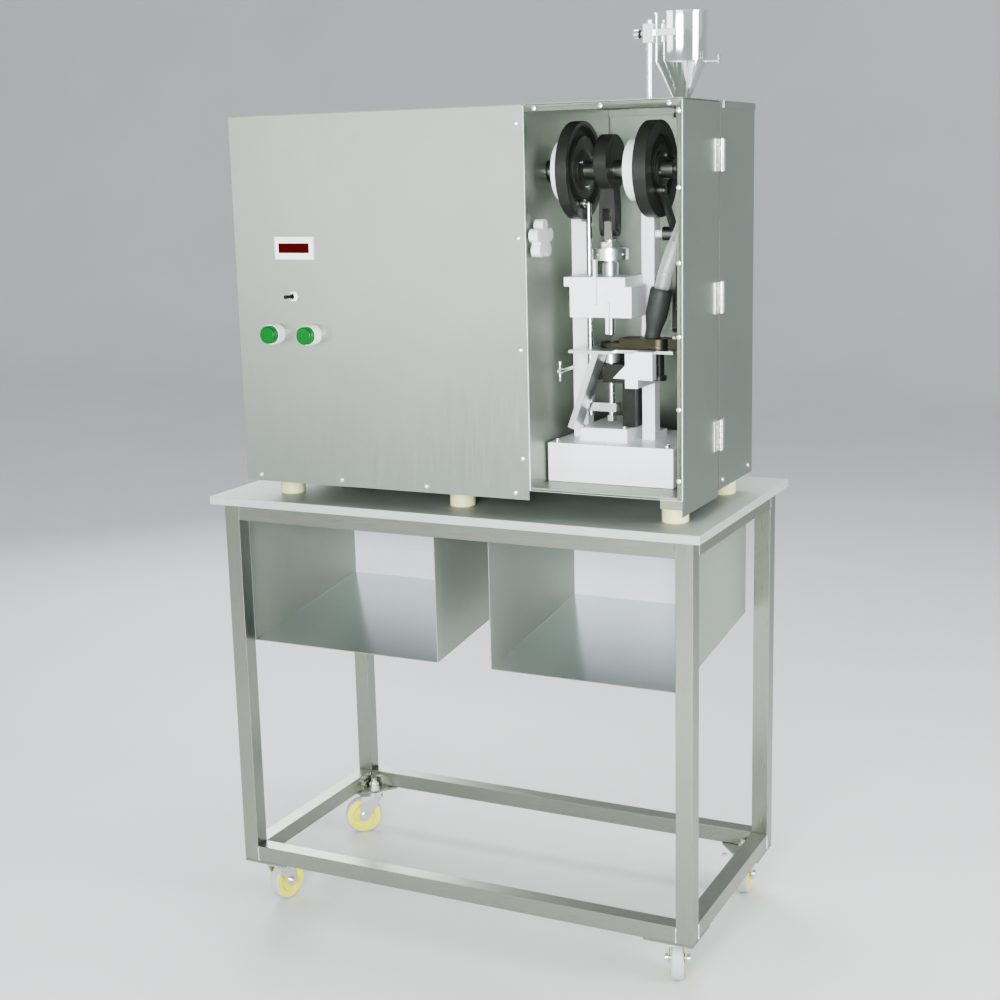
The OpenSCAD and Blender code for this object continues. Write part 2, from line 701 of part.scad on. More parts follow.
// Points of a roller path, seen from a cam disc that turns under it. Each entry is [y, z] from the shaft.
STEPS = 36;
function turned(p, a) = [p[0] * cos(a) + p[1] * sin(a), -p[0] * sin(a) + p[1] * cos(a)];
function lift_roller(t) = [0, -(lift_groove_r + fill_depth * t)];
function lever_point(t) = let (a = lever_swing * t, p = lever_roller - lever_pivot)
    lever_pivot + [p[0] * cos(a) - p[1] * sin(a), p[0] * sin(a) + p[1] * cos(a)] - [ram_y, shaft_z];
function path_angle(k) = 360 * k / STEPS;
function path_part(k) = k <= STEPS / 2 ? 2 * k / STEPS : 2 - 2 * k / STEPS;
function lift_path() = [for (k = [0 : STEPS - 1]) turned(lift_roller(path_part(k)), path_angle(k))];
function feed_path() = [for (k = [0 : STEPS - 1]) turned(lever_point(path_part(k)), path_angle(k))];
// Moves every point of a closed path sideways by half the groove's width
function side_of(path, half) = let (n = len(path)) [for (k = [0 : n - 1])
    let (t = path[(k + 1) % n] - path[(k + n - 1) % n], u = t / norm(t)) path[k] + half * [-u[1], u[0]]];

// The band that the roller needs, to both sides of its path
module groove_band(path) {
    half = roller_r + 0.8;
    difference() {
        polygon(side_of(path, half));
        polygon(side_of(path, -half));
    }
}

module cam_disc(x, thick, r, path) {
    difference() {
        rod_x([x, x + thick], ram_y, shaft_z, r);
        rod_x([x - 1, x + thick + 1], ram_y, shaft_z, shaft_r);
        translate([0, ram_y, shaft_z]) profile_x([x + thick - groove_depth, x + thick + 1]) groove_band(path);
    }
}

module lift_cam()
    color([0.16, 0.17, 0.17]) in_cabinet() cam_disc(lift_cam_x, lift_cam_t, lift_cam_r, lift_path());

module feed_cam()
    color([0.16, 0.17, 0.17]) in_cabinet() cam_disc(feed_cam_x, feed_cam_t, feed_cam_r, feed_path());

// Strap round the eccentric, tapering to a fork whose two cheeks straddle the ram's tongue
module con_rod() {
    cheek_x = 7.5;
    color([0.30, 0.31, 0.30]) in_cabinet() {
        difference() {
            union() {
                rod_x([ram_x - 10.5, ram_x + 10.5], ram_y, ecc_z, strap_r);
                translate([0, ram_y + 14, 0]) rotate([90, 0, 0]) linear_extrude(height = 28)
                    polygon([[ram_x - 10.5, ecc_z - 30], [ram_x + 10.5, ecc_z - 30],
                        [ram_x + 13.5, wrist_z + 30], [ram_x - 13.5, wrist_z + 30]]);
            }
            rod_x([ram_x - 20, ram_x + 20], ram_y, ecc_z, ecc_r + FIT);
        }
        for (s = [-1, 1]) {
            x = s < 0 ? [ram_x - cheek_x - 6, ram_x - cheek_x] : [ram_x + cheek_x, ram_x + cheek_x + 6];
            block(x, [ram_y - 14, ram_y + 14], [wrist_z, wrist_z + 30]);
            rod_x(x, ram_y, wrist_z, 14);
            rod_x(s < 0 ? [x[0] - 3, x[0]] : [x[1], x[1] + 3], ram_y, wrist_z, 6);
        }
    }
}

module upper_ram() {
    color([0.88, 0.89, 0.88]) in_cabinet() {
        block([ram_x - 7, ram_x + 7], [ram_y - 10, ram_y + 10], [wrist_z - 19, wrist_z + 10]);
        rod_z(ram_x, ram_y, [404, wrist_z - 19], 9);
        rod_z(ram_x, ram_y, [376, 404], 10);
        rod_z(ram_x, ram_y, [punch_tip_z + punch_l, 376], 13);
    }
}

// Knurled adjusting ring with radial spanner holes, and its lock nut
module lock_ring() {
    color([0.85, 0.86, 0.87]) in_cabinet() difference() {
        union() {
            rod_z(ram_x, ram_y, [381, 399], 29);
            hex_z(ram_x, ram_y, [399, 409], 17);
        }
        rod_z(ram_x, ram_y, [375, 404], 10);
        rod_z(ram_x, ram_y, [403, 410], 9);
        for (k = [0 : 7]) translate([ram_x, ram_y, 390]) rotate([0, 0, 45 * k + 22.5])
            rotate([0, 90, 0]) translate([0, 0, 21]) cylinder(r = 3, h = 12, $fn = 24);
    }
}

module upper_punch() {
    color([0.80, 0.82, 0.84]) in_cabinet() {
        rod_z(ram_x, ram_y, [punch_tip_z + 10, punch_tip_z + punch_l], 7.2);
        rod_z(ram_x, ram_y, [punch_tip_z, punch_tip_z + 10], punch_dia / 2);
    }
}

// Block that guides both moving rods, with its flange and the two flat bars on its face
module guide_block() {
    color(IVORY) in_cabinet() difference() {
        union() {
            block([599, 705], [60, 122], [292, 341]);
            block([590, 695], [58, column_y0], [341, 356]);
            block([642.5, 647.5], [53, 61], [312, 384]);
            block([663, 669], [53, 61], [267, 318]);
        }
        rod_z(ram_x, ram_y, [280, 360], 13 + FIT);
        rod_z(lift_rod_x, ram_y, [280, 360], 4.5 + FIT);
    }
}

module die_platform() {
    color([0.55, 0.58, 0.57]) in_cabinet() difference() {
        block([602, 772], [45, column_y0], [platform_top - platform_t, platform_top]);
        rod_z(ram_x, ram_y, [230, 250], 16);
        rod_z(lift_rod_x, ram_y, [230, 250], 5);
        rod_z(shoe_pivot[0], shoe_pivot[1], [230, 250], 8 + FIT);
        block([wedge_x[0] - GAP, 773], [44, wedge_y[1] + GAP], [230, 250]);
        for (at = PLATFORM_SCREWS) rod_z(at[0], at[1], [230, 250], hole_r);
    }
    color([0.75, 0.77, 0.79]) in_cabinet() difference() {
        union() {
            rod_z(ram_x, ram_y, [platform_top - platform_t, platform_top], 16);
            rod_z(ram_x, ram_y, [216, platform_top - platform_t], 14);
        }
        rod_z(ram_x, ram_y, [200, 250], die_bore_r);
    }
}

module lower_ram() {
    color([0.82, 0.84, 0.85]) in_cabinet() {
        rod_z(ram_x, ram_y, [212, platform_top], punch_dia / 2);
        rod_z(ram_x, ram_y, [208, 212], ram_collar_r);
        rod_z(ram_x, ram_y, [130, 208], 5);
        hex_z(ram_x, ram_y, [120, 130], 8.5);
    }
}

// Rod from the lift cam's roller down to the yoke that carries the lower ram
module lift_rod() {
    top = shaft_z - lift_groove_r;
    color([0.86, 0.88, 0.88]) in_cabinet() {
        rod_z(lift_rod_x, ram_y, [128, top], 4.5);
        rod_x([lift_cam_x + lift_cam_t - groove_depth + 0.8, lift_rod_x], ram_y, top, 3.5);
        rod_x([lift_cam_x + lift_cam_t - groove_depth + 0.8, lift_cam_x + lift_cam_t - 1],
            ram_y, top, roller_r);
        difference() {
            block([lift_rod_x - 8, ram_x + 11], [ram_y - 9, ram_y + 9], [136, 150]);
            rod_z(ram_x, ram_y, [130, 160], 5);
        }
    }
}

module feed_lever() {
    arm = lever_roller - lever_pivot;
    color([0.85, 0.82, 0.80]) in_cabinet() difference() {
        union() {
            translate([0, lever_pivot[0], lever_pivot[1]]) profile_x(lever_x) {
                circle(r = 14);
                rotate(atan2(arm[1], arm[0])) translate([0, -8]) square([norm(arm), 16]);
                translate(arm) circle(r = 9);
                translate([-7, -150]) square([14, 150]);
                translate([0, -150]) circle(r = 8);
            }
            rod_x([feed_cam_x + feed_cam_t - groove_depth + 1.5, lever_x[0]],
                lever_roller[0], lever_roller[1], roller_r);
            rod_x([lever_x[1], lever_x[1] + 4], lever_roller[0], lever_roller[1], 6);
            rod_x([RIGHT_CHEEK[1] + 12, lever_x[1] + 5], lever_pivot[0], lever_pivot[1], 11);
        }
        rod_x([RIGHT_CHEEK[1] + 1, lever_x[1] + 9], lever_pivot[0], lever_pivot[1], 6 + FIT);
    }
}

// Boat-shaped shoe: the heel turns on its pivot shaft, and the low open toe covers the die and passes
// under the punch
module feed_shoe() {
    toe_r = 18;
    heel_r = 20;
    z = [platform_top + shoe_gap, platform_top + shoe_gap + shoe_h];
    d = [ram_x, ram_y] - shoe_pivot;
    color([0.55, 0.50, 0.36]) in_cabinet() difference() {
        union() {
            translate([shoe_pivot[0], shoe_pivot[1], z[0]]) rotate([0, 0, atan2(d[1], d[0])])
            {
                linear_extrude(height = shoe_toe_h) {
                    circle(r = heel_r);
                    translate([norm(d), 0]) circle(r = toe_r);
                    polygon([[0, heel_r], [norm(d), toe_r], [norm(d), -toe_r], [0, -heel_r]]);
                }
                linear_extrude(height = shoe_h) {
                    circle(r = heel_r);
                    polygon([[0, heel_r], [shoe_body_l, toe_r], [shoe_body_l, -toe_r], [0, -heel_r]]);
                    translate([-34, -8]) square([34, 16]);
                }
            }
            rod_z(shoe_pivot[0], shoe_pivot[1], [198, z[0]], 8);
            rod_z(shoe_pivot[0], shoe_pivot[1], [190, 198], 12);
        }
        rod_z(ram_x, ram_y, [z[0] - 1, z[1] + 1], 13);
        rod_z(boot_foot[0], boot_foot[1], [z[0] + 5, z[1] + 1], 7);
    }
}

// Rubber boot that leans from the shoe towards the hose
module hose_boot() {
    z = platform_top + shoe_gap + shoe_h + 0.4;
    sunk = 4;
    color([0.30, 0.33, 0.30]) in_cabinet() difference() {
        translate([boot_foot[0], boot_foot[1], z]) rotate([0, boot_lean, 0]) rotate_extrude()
            polygon([[8, -sunk], [12, -sunk], [12.5, 14], [17.5, 36], [18, 76], [16.5, 80], [12.2, 80],
                [12.2, 42], [8, 32]]);
        block([boot_foot[0] - 30, boot_foot[0] + 30], [boot_foot[1] - 30, boot_foot[1] + 30], [z - 12, z]);
    }
}

// Route of the centre line of the feed hose, from the boot up to the hopper spout
HOSE_ROUTE = [[736, 100, 314], [738.9, 100, 328], [741.5, 100, 340], [747, 101.5, 364], [755, 106, 390],
    [764, 112, 415], [772, 117, 440], [778, 120, 470], [780, 121, 505], [776, 121, 540], [770, 120, 572],
    [767, 120, 600], [767, 120, 612]];
HOSE_SIDES = 12;
HOSE_STEPS = 4;
hose_r = 11.8;
function spline(a, b, c, d, t) = 0.5 * ((2 * b) + (c - a) * t + (2 * a - 5 * b + 4 * c - d) * t * t
    + (3 * b - a - 3 * c + d) * t * t * t);
function route_point(route, s) = let (n = len(route) - 1, k = min(floor(s), n - 1), t = s - k)
    spline(route[max(k - 1, 0)], route[k], route[k + 1], route[min(k + 2, n)], t);
function ring_points(c, dir, r, sides) = let (u = dir / norm(dir), side = [0, 1, 0] - u * u[1],
    v = side / norm(side), w = cross(u, v)) [for (k = [0 : sides - 1])
        c + r * (v * cos(360 * k / sides) + w * sin(360 * k / sides))];

module swept_tube(route, r, sides, steps) {
    rings = (len(route) - 1) * steps + 1;
    at = [for (k = [0 : rings - 1]) route_point(route, k / steps)];
    dirs = [for (k = [0 : rings - 1]) at[min(k + 1, rings - 1)] - at[max(k - 1, 0)]];
    points = [for (k = [0 : rings - 1]) each ring_points(at[k], dirs[k], r, sides)];
    walls = [for (k = [0 : rings - 2], j = [0 : sides - 1]) [k * sides + j, k * sides + (j + 1) % sides,
        (k + 1) * sides + (j + 1) % sides, (k + 1) * sides + j]];
    first = [[for (j = [0 : sides - 1]) sides - 1 - j]];
    last = [[for (j = [0 : sides - 1]) (rings - 1) * sides + j]];
    polyhedron(points = points, faces = concat(first, walls, last), convexity = 4);
}

module feed_hose()
    color([0.85, 0.88, 0.87]) in_cabinet() swept_tube(HOSE_ROUTE, hose_r, HOSE_SIDES, HOSE_STEPS);

// Open channel under the platform that slides finished tablets down to the left
module tablet_chute() {
    top = [652, platform_top - platform_t];
    low = [606, 112];
    y = [50, 90];
    sheet = 1.2;
    side_h = 10;
    down = (low - top) / norm(low - top);
    up = [down[1], -down[0]];
    lip_top = top + [-side_h / -up[0], 0];
    color([0.80, 0.84, 0.83]) in_cabinet() translate([0, y[1], 0]) rotate([90, 0, 0]) {
        linear_extrude(height = y[1] - y[0])
            polygon([top, low, low + sheet * up, top + [-sheet / -up[0], 0]]);
        for (side = [0, y[1] - y[0] - sheet]) translate([0, 0, side])
            linear_extrude(height = sheet) polygon([top, low, low + side_h * up, lip_top]);
    }
}

// ---------- hopper ----------
cone_z = cab_h + 1 + hopper_cone_h;
rim_z = cone_z + hopper_tube_h;
hopper_wall = 1.2;
flap_z = cone_z - 3;
flap_r = hopper_r - hopper_wall - 7;
flap_pin_r = 2;

module hopper() {
    inner_r = hopper_r - hopper_wall;
    color([0.82, 0.85, 0.84]) in_cabinet() difference() {
        translate([hopper_at[0], hopper_at[1], 0]) rotate_extrude()
            polygon([[spout_r - hopper_wall, 612], [spout_r, 612], [spout_r, cab_h + 1], [hopper_r, cone_z],
                [hopper_r, rim_z], [hopper_r + 1.5, rim_z], [hopper_r + 1.5, rim_z + 2], [inner_r, rim_z + 2],
                [inner_r, cone_z + 0.6], [spout_r - hopper_wall, cab_h + 1.6]]);
        rod_x([hopper_at[0] - hopper_r - 9, hopper_at[0] + hopper_r + 9],
            hopper_at[1], flap_z, flap_pin_r + FIT);
    }
}

// Butterfly flap across the top of the cone, on a pin with a wing outside on the right
module hopper_gate() {
    right = hopper_at[0] + hopper_r;
    color([0.78, 0.80, 0.80]) in_cabinet() {
        rod_z(hopper_at[0], hopper_at[1], [flap_z - 0.8, flap_z + 0.8], flap_r);
        rod_x([hopper_at[0] - hopper_r - 2, right + 6], hopper_at[1], flap_z, flap_pin_r);
        block([right + 3, right + 22], [hopper_at[1] - 6, hopper_at[1] + 6], [flap_z - 0.9, flap_z + 0.9]);
        block([right + 20, right + 22], [hopper_at[1] - 6, hopper_at[1] + 6], [flap_z - 4, flap_z + 9]);
    }
}

module hopper_stand() {
    post = [731, 76];
    head_z = cab_h + 85;
    color([0.70, 0.72, 0.70]) in_cabinet() {
        rod_z(post[0], post[1], [cab_h, cab_h + 3], 11);
        rod_z(post[0], post[1], [cab_h + 3, head_z + 34], 4);
        difference() {
            union() {
                block([post[0] - 8, post[0] + 8], [post[1] - 8, post[1] + 8], [head_z, head_z + 28]);
                block([post[0] + 8, hopper_at[0] + 6], [post[1], post[1] + 4], [head_z + 10, head_z + 20]);
            }
            rod_z(post[0], post[1], [head_z - 1, head_z + 40], 4);
        }
        rod_x([post[0] - 16, post[0] - 8], post[1], head_z + 14, 2.5);
    }
    color([0.12, 0.12, 0.13]) in_cabinet() rod_x([post[0] - 24, post[0] - 16], post[1], head_z + 14, 7);
}

module cable_gland() {
    color([0.15, 0.15, 0.16]) in_cabinet() difference() {
        union() {
            rod_y(cable_hole[0], [cab_d - 12, cab_d + 14], cable_hole[1], 7.9);
            rod_y(cable_hole[0], [cab_d, cab_d + 5], cable_hole[1], 12);
            translate([cable_hole[0], cab_d - SHEET, cable_hole[1]]) rotate([90, 0, 0])
                cylinder(r = 12, h = 5, $fn = 6);
        }
        rod_y(cable_hole[0], [cab_d - 20, cab_d + 20], cable_hole[1], 4.5);
    }
}

trolley_legs();
trolley_rails();
corner_plates();
worktop();
storage_box_left();
storage_box_right();
caster_stems();
caster_fork_fl();
caster_fork_fr();
caster_fork_bl();
caster_fork_br();
caster_wheel_fl();
caster_wheel_fr();
caster_wheel_bl();
caster_wheel_br();
cabinet_floor();
cabinet_feet();
cabinet_shell();
top_cover();
front_panel();
partition();
right_side_panel();
door_leaf();
door_window();
hinges_fixed();
hinges_door();
panel_screws();
door_screws();
clamp_knob();
counter();
control_collars();
toggle_lever();
start_button();
stop_button();
drive_motor();
motor_pulley();
drive_belt();
main_pulley();
machine_base();
press_frame();
main_shaft();
lift_cam();
feed_cam();
con_rod();
upper_ram();
lock_ring();
upper_punch();
guide_block();
die_platform();
lower_ram();
lift_rod();
feed_lever();
feed_shoe();
hose_boot();
feed_hose();
tablet_chute();
hopper();
hopper_gate();
hopper_stand();
cable_gland();
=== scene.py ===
"""Looks of the tablet press: rounded edges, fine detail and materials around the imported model."""

import json
import math

import bmesh
import bpy
from mathutils import Matrix, Vector

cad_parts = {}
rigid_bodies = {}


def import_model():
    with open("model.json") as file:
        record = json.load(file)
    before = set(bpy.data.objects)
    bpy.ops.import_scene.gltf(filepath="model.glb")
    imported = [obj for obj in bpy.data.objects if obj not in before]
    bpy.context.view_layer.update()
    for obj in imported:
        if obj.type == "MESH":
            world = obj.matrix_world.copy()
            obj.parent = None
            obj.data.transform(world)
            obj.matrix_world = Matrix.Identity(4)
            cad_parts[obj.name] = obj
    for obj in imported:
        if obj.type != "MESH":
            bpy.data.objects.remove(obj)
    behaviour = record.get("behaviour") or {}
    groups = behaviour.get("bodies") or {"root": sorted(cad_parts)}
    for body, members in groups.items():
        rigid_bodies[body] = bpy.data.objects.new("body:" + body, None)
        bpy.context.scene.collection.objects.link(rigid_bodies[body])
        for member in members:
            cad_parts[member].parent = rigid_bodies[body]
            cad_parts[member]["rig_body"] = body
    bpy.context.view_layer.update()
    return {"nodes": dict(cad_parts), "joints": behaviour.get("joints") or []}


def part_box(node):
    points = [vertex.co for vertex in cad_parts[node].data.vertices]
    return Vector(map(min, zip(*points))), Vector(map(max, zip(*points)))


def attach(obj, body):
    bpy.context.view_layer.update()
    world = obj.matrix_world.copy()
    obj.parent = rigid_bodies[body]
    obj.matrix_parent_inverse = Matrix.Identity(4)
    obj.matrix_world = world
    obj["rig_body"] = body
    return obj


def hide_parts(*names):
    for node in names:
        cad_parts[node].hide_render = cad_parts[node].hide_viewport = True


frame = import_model()
NODES = frame["nodes"]
MM = 0.001


def lo(node):
    return Vector(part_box(node)[0])


def hi(node):
    return Vector(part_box(node)[1])


def mid(node):
    return (lo(node) + hi(node)) / 2


JOINTS = {j["name"]: j for j in frame["joints"]}


# ---------- camera, light and floor ----------
CAMERA_AT = (1.251, -2.524, 1.365)
CAMERA_LENS = 57.5
CAMERA_TURN = {"yaw": 26.25, "pitch": -11.74, "roll": -1.38}
# Each lamp: name, where it stands, what it looks at, its size, its power and its colour
LIGHTS = [
    ("key", (-1.6, -3.0, 1.35), (-0.1, 0.0, 1.05), (1.8, 1.5), 13, (1, 0.99, 0.95)),
    ("front", (0.9, -3.0, 1.25), (0.1, 0.0, 0.95), (1.4, 1.0), 94, (0.98, 0.99, 1)),
    ("side", (3.0, -0.4, 1.3), (0.3, 0.0, 0.9), (1.2, 1.6), 44, (0.96, 0.99, 1)),
    ("top", (0.3, 0.5, 3.4), (0.1, 0.0, 1.0), (2.4, 1.6), 40, (1, 1, 1)),
    ("rim", (-2.2, 2.2, 2.0), (0.0, 0.0, 1.0), (1.6, 1.6), 30, (0.95, 0.98, 1)),
]
SKY = (0.89, 0.92, 0.95, 1)
SKY_STRENGTH = 0.60


def make_camera():
    data = bpy.data.cameras.new("camera")
    data.sensor_width = 36.0
    data.lens = CAMERA_LENS
    data.clip_end = 50
    cam = bpy.data.objects.new("camera", data)
    bpy.context.scene.collection.objects.link(cam)
    yaw = math.radians(CAMERA_TURN["yaw"])
    pitch = math.radians(CAMERA_TURN["pitch"])
    roll = math.radians(CAMERA_TURN["roll"])
    turn = Matrix.Rotation(yaw, 4, "Z") @ Matrix.Rotation(math.pi / 2 + pitch, 4, "X")
    turn = turn @ Matrix.Rotation(roll, 4, "Z")
    cam.matrix_world = Matrix.Translation(CAMERA_AT) @ turn
    bpy.context.scene.camera = cam


def area_light(name, at, to, size, power, colour):
    data = bpy.data.lights.new(name, "AREA")
    data.shape = "RECTANGLE"
    data.size, data.size_y = size
    data.energy = power
    data.color = colour
    lamp = bpy.data.objects.new(name, data)
    bpy.context.scene.collection.objects.link(lamp)
    lamp.location = at
    lamp.rotation_euler = (Vector(to) - Vector(at)).to_track_quat("-Z", "Y").to_euler()


def make_light():
    bpy.context.scene.view_settings.look = "AgX - High Contrast"
    world = bpy.data.worlds.new("studio")
    bpy.context.scene.world = world
    world.use_nodes = True
    back = world.node_tree.nodes["Background"]
    back.inputs["Color"].default_value = SKY
    back.inputs["Strength"].default_value = SKY_STRENGTH
    for lamp in LIGHTS:
        area_light(*lamp)


def make_floor():
    """A pale floor that bends up into a back wall behind the part."""
    mesh = bpy.data.meshes.new("floor")
    half = 14
    back_y = 6
    bend = 2.5
    steps = 16
    arc = [math.pi / 2 * k / steps for k in range(steps + 1)]
    section = [(-half, 0)] + [(back_y + bend * math.sin(a), bend - bend * math.cos(a)) for a in arc]
    section.append((back_y + bend, half))
    points = [(x, y, z) for y, z in section for x in (-half, half)]
    faces = [(2 * k, 2 * k + 1, 2 * k + 3, 2 * k + 2) for k in range(len(section) - 1)]
    mesh.from_pydata(points, [], faces)
    mesh.shade_smooth()
    floor = bpy.data.objects.new("floor", mesh)
    bpy.context.scene.collection.objects.link(floor)
    mesh.materials.append(plain_floor())


# ---------- materials ----------
class Look:
    """One material and the few calls that build its node tree."""

    def __init__(self, name, colour, roughness, metallic=0.0):
        self.mat = bpy.data.materials.new(name)
        self.mat.use_nodes = True
        self.tree = self.mat.node_tree
        self.bsdf = self.tree.nodes["Principled BSDF"]
        self.set("Base Color", (*colour, 1))
        self.set("Roughness", roughness)
        self.set("Metallic", metallic)
        self.coords = self.node("ShaderNodeTexCoord").outputs["Object"]
        self.height = None

    def node(self, kind, **values):
        made = self.tree.nodes.new(kind)
        for key, value in values.items():
            setattr(made, key, value)
        return made

    def set(self, socket, value):
        self.bsdf.inputs[socket].default_value = value
        return self

    def link(self, a, b):
        self.tree.links.new(a, b)

    def noise(self, scale, stretch=(1, 1, 1), detail=3.0, rough=0.55):
        place = self.node("ShaderNodeMapping")
        place.inputs["Scale"].default_value = [scale * s for s in stretch]
        self.link(self.coords, place.inputs["Vector"])
        tex = self.node("ShaderNodeTexNoise")
        tex.inputs["Scale"].default_value = 1.0
        tex.inputs["Detail"].default_value = detail
        tex.inputs["Roughness"].default_value = rough
        self.link(place.outputs["Vector"], tex.inputs["Vector"])
        return tex.outputs["Fac"]

    def spread(self, fac, low, high, start=0.3, end=0.7):
        ramp = self.node("ShaderNodeMapRange")
        for key, value in zip(("From Min", "From Max", "To Min", "To Max"), (start, end, low, high)):
            ramp.inputs[key].default_value = value
        self.link(fac, ramp.inputs["Value"])
        return ramp.outputs["Result"]

    def mottle(self, fac, other, amount=1.0, start=0.3, end=0.7):
        """Colour goes from the base colour to another one where fac is high."""
        mix = self.node("ShaderNodeMix", data_type="RGBA")
        current = self.bsdf.inputs["Base Color"]
        if current.is_linked:
            self.link(current.links[0].from_socket, mix.inputs["A"])
        else:
            mix.inputs["A"].default_value = current.default_value[:]
        mix.inputs["B"].default_value = (*other, 1)
        self.link(self.spread(fac, 0.0, amount, start, end), mix.inputs["Factor"])
        self.link(mix.outputs["Result"], current)
        return self

    def rough(self, fac, low, high, start=0.3, end=0.7):
        self.link(self.spread(fac, low, high, start, end), self.bsdf.inputs["Roughness"])
        return self

    def bump(self, fac, depth, strength=1.0):
        made = self.node("ShaderNodeBump")
        made.inputs["Distance"].default_value = depth
        made.inputs["Strength"].default_value = strength
        self.link(fac, made.inputs["Height"])
        if self.height is not None:
            self.link(self.height, made.inputs["Normal"])
        self.link(made.outputs["Normal"], self.bsdf.inputs["Normal"])
        self.height = made.outputs["Normal"]
        return self


def plain_floor():
    look = Look("floor", (0.74, 0.75, 0.75), 0.55)
    return look.mottle(look.noise(1.5), (0.70, 0.71, 0.71), 0.6).mat


def brushed(name, colour, stretch, roughness=0.34, smudge=0.5, metallic=1.0):
    """Satin sheet steel: fine grain one way, broad soft clouds and a few finger smudges."""
    look = Look(name, colour, roughness, metallic)
    grain = look.noise(1.0, stretch, 4.0, 0.7)
    clouds = look.noise(2.6, detail=2.0)
    smudges = look.noise(14, detail=5.0, rough=0.62)
    look.mottle(clouds, [c * 0.86 for c in colour], 0.8)
    look.mottle(grain, [min(1, c * 1.10) for c in colour], 0.35, 0.35, 0.65)
    look.mottle(smudges, [c * 0.80 for c in colour], smudge * 0.4, 0.56, 0.75)
    look.rough(grain, roughness - 0.05, roughness + 0.07)
    look.bump(grain, 0.00012, 0.35)
    look.bump(clouds, 0.002, 0.05)
    return look.mat


def enamel(name, colour, roughness=0.32):
    """Sprayed enamel on a casting: slight orange peel, faint grime in patches."""
    look = Look(name, colour, roughness)
    look.set("Coat Weight", 0.25)
    look.set("Coat Roughness", 0.2)
    patches = look.noise(18, detail=6.0, rough=0.6)
    peel = look.noise(600, detail=1.0)
    look.mottle(patches, [c * 0.86 for c in colour], 0.55, 0.52, 0.8)
    look.rough(patches, roughness - 0.05, roughness + 0.12)
    look.bump(peel, 0.0002, 0.18)
    look.bump(patches, 0.0006, 0.08)
    return look.mat


def turned(name, colour, roughness, metallic, centre, axis, pitch=0.0011, depth=0.0001):
    """Lathe-turned metal: fine rings round an axis (0, 1 or 2 for x, y or z) through a point."""
    look = Look(name, colour, roughness, metallic)
    shift = look.node("ShaderNodeVectorMath", operation="SUBTRACT")
    shift.inputs[1].default_value = centre
    look.link(look.coords, shift.inputs[0])
    flat = look.node("ShaderNodeVectorMath", operation="MULTIPLY")
    flat.inputs[1].default_value = [0 if k == axis else 1 for k in range(3)]
    look.link(shift.outputs["Vector"], flat.inputs[0])
    radius = look.node("ShaderNodeVectorMath", operation="LENGTH")
    look.link(flat.outputs["Vector"], radius.inputs[0])
    rings = look.node("ShaderNodeTexNoise", noise_dimensions="1D")
    rings.inputs["Scale"].default_value = 1 / pitch
    rings.inputs["Detail"].default_value = 2.0
    look.link(radius.outputs["Value"], rings.inputs["W"])
    stain = look.noise(30, detail=5.0)
    look.mottle(stain, [c * 0.7 for c in colour], 0.5, 0.5, 0.75)
    look.rough(rings.outputs["Fac"], roughness - 0.06, roughness + 0.1)
    look.bump(rings.outputs["Fac"], depth, 0.5)
    return look.mat


def machined(name, colour, roughness=0.22, stain=0.7):
    """Milled or ground bare metal: fine marks up and down, darker where it is stained."""
    look = Look(name, colour, roughness, 1.0)
    marks = look.noise(1.0, (900, 900, 60), 3.0)
    patches = look.noise(25, detail=5.0)
    look.mottle(patches, [c * stain for c in colour], 0.6, 0.48, 0.75)
    look.rough(patches, roughness, roughness + 0.16)
    look.bump(marks, 0.00008, 0.3)
    return look.mat


def painted(name, colour, roughness=0.34):
    """Black oxide or dark paint on a machined part, worn paler in small patches."""
    look = Look(name, colour, roughness)
    wear = look.noise(70, detail=6.0, rough=0.65)
    grain = look.noise(500, detail=2.0)
    look.mottle(wear, [c * 2.4 for c in colour], 0.8, 0.55, 0.78)
    look.rough(wear, roughness - 0.06, roughness + 0.14)
    look.bump(grain, 0.0001, 0.2)
    return look.mat


def mirror_steel(name, colour, roughness=0.05):
    """Spun and polished sheet steel: almost a mirror, with a little haze."""
    look = Look(name, colour, roughness, 1.0)
    haze = look.noise(9, detail=4.0)
    spin = look.noise(1.0, (6, 6, 300), 2.0)
    look.mottle(haze, [c * 0.88 for c in colour], 0.4)
    look.rough(haze, roughness, roughness + 0.07)
    look.bump(spin, 0.00004, 0.2)
    return look.mat


def moulded(name, colour, roughness=0.35, grain=900, gloss=0.5):
    """Moulded plastic or rubber: fine grain, a little unevenness of tone and gloss."""
    look = Look(name, colour, roughness)
    look.set("Specular IOR Level", gloss)
    fine = look.noise(grain, detail=2.0)
    tone = look.noise(40, detail=4.0)
    look.mottle(tone, [c * 0.9 for c in colour], 0.6)
    look.rough(tone, roughness - 0.05, roughness + 0.1)
    look.bump(fine, 0.0001, 0.25)
    return look.mat


def clear_sheet(name, tint, body=0.012, slant=0.25, ior=1.49):
    """Clear acrylic: see-through face on, more reflecting at a slant, with faint polishing haze.
    body and slant are how solid it looks face on and at a slant."""
    look = Look(name, [c * 0.25 for c in tint], 0.04)
    look.set("IOR", ior)
    look.set("Specular IOR Level", 0.9)
    gloss = look.node("ShaderNodeFresnel")
    gloss.inputs["IOR"].default_value = ior
    haze = look.noise(6, detail=5.0, rough=0.6)
    add = look.node("ShaderNodeMath", operation="ADD")
    look.link(look.spread(gloss.outputs["Fac"], body, slant, 0.04, 0.6), add.inputs[0])
    look.link(look.spread(haze, 0.0, 0.008), add.inputs[1])
    look.link(add.outputs["Value"], look.bsdf.inputs["Alpha"])
    look.rough(haze, 0.03, 0.10)
    return look.mat


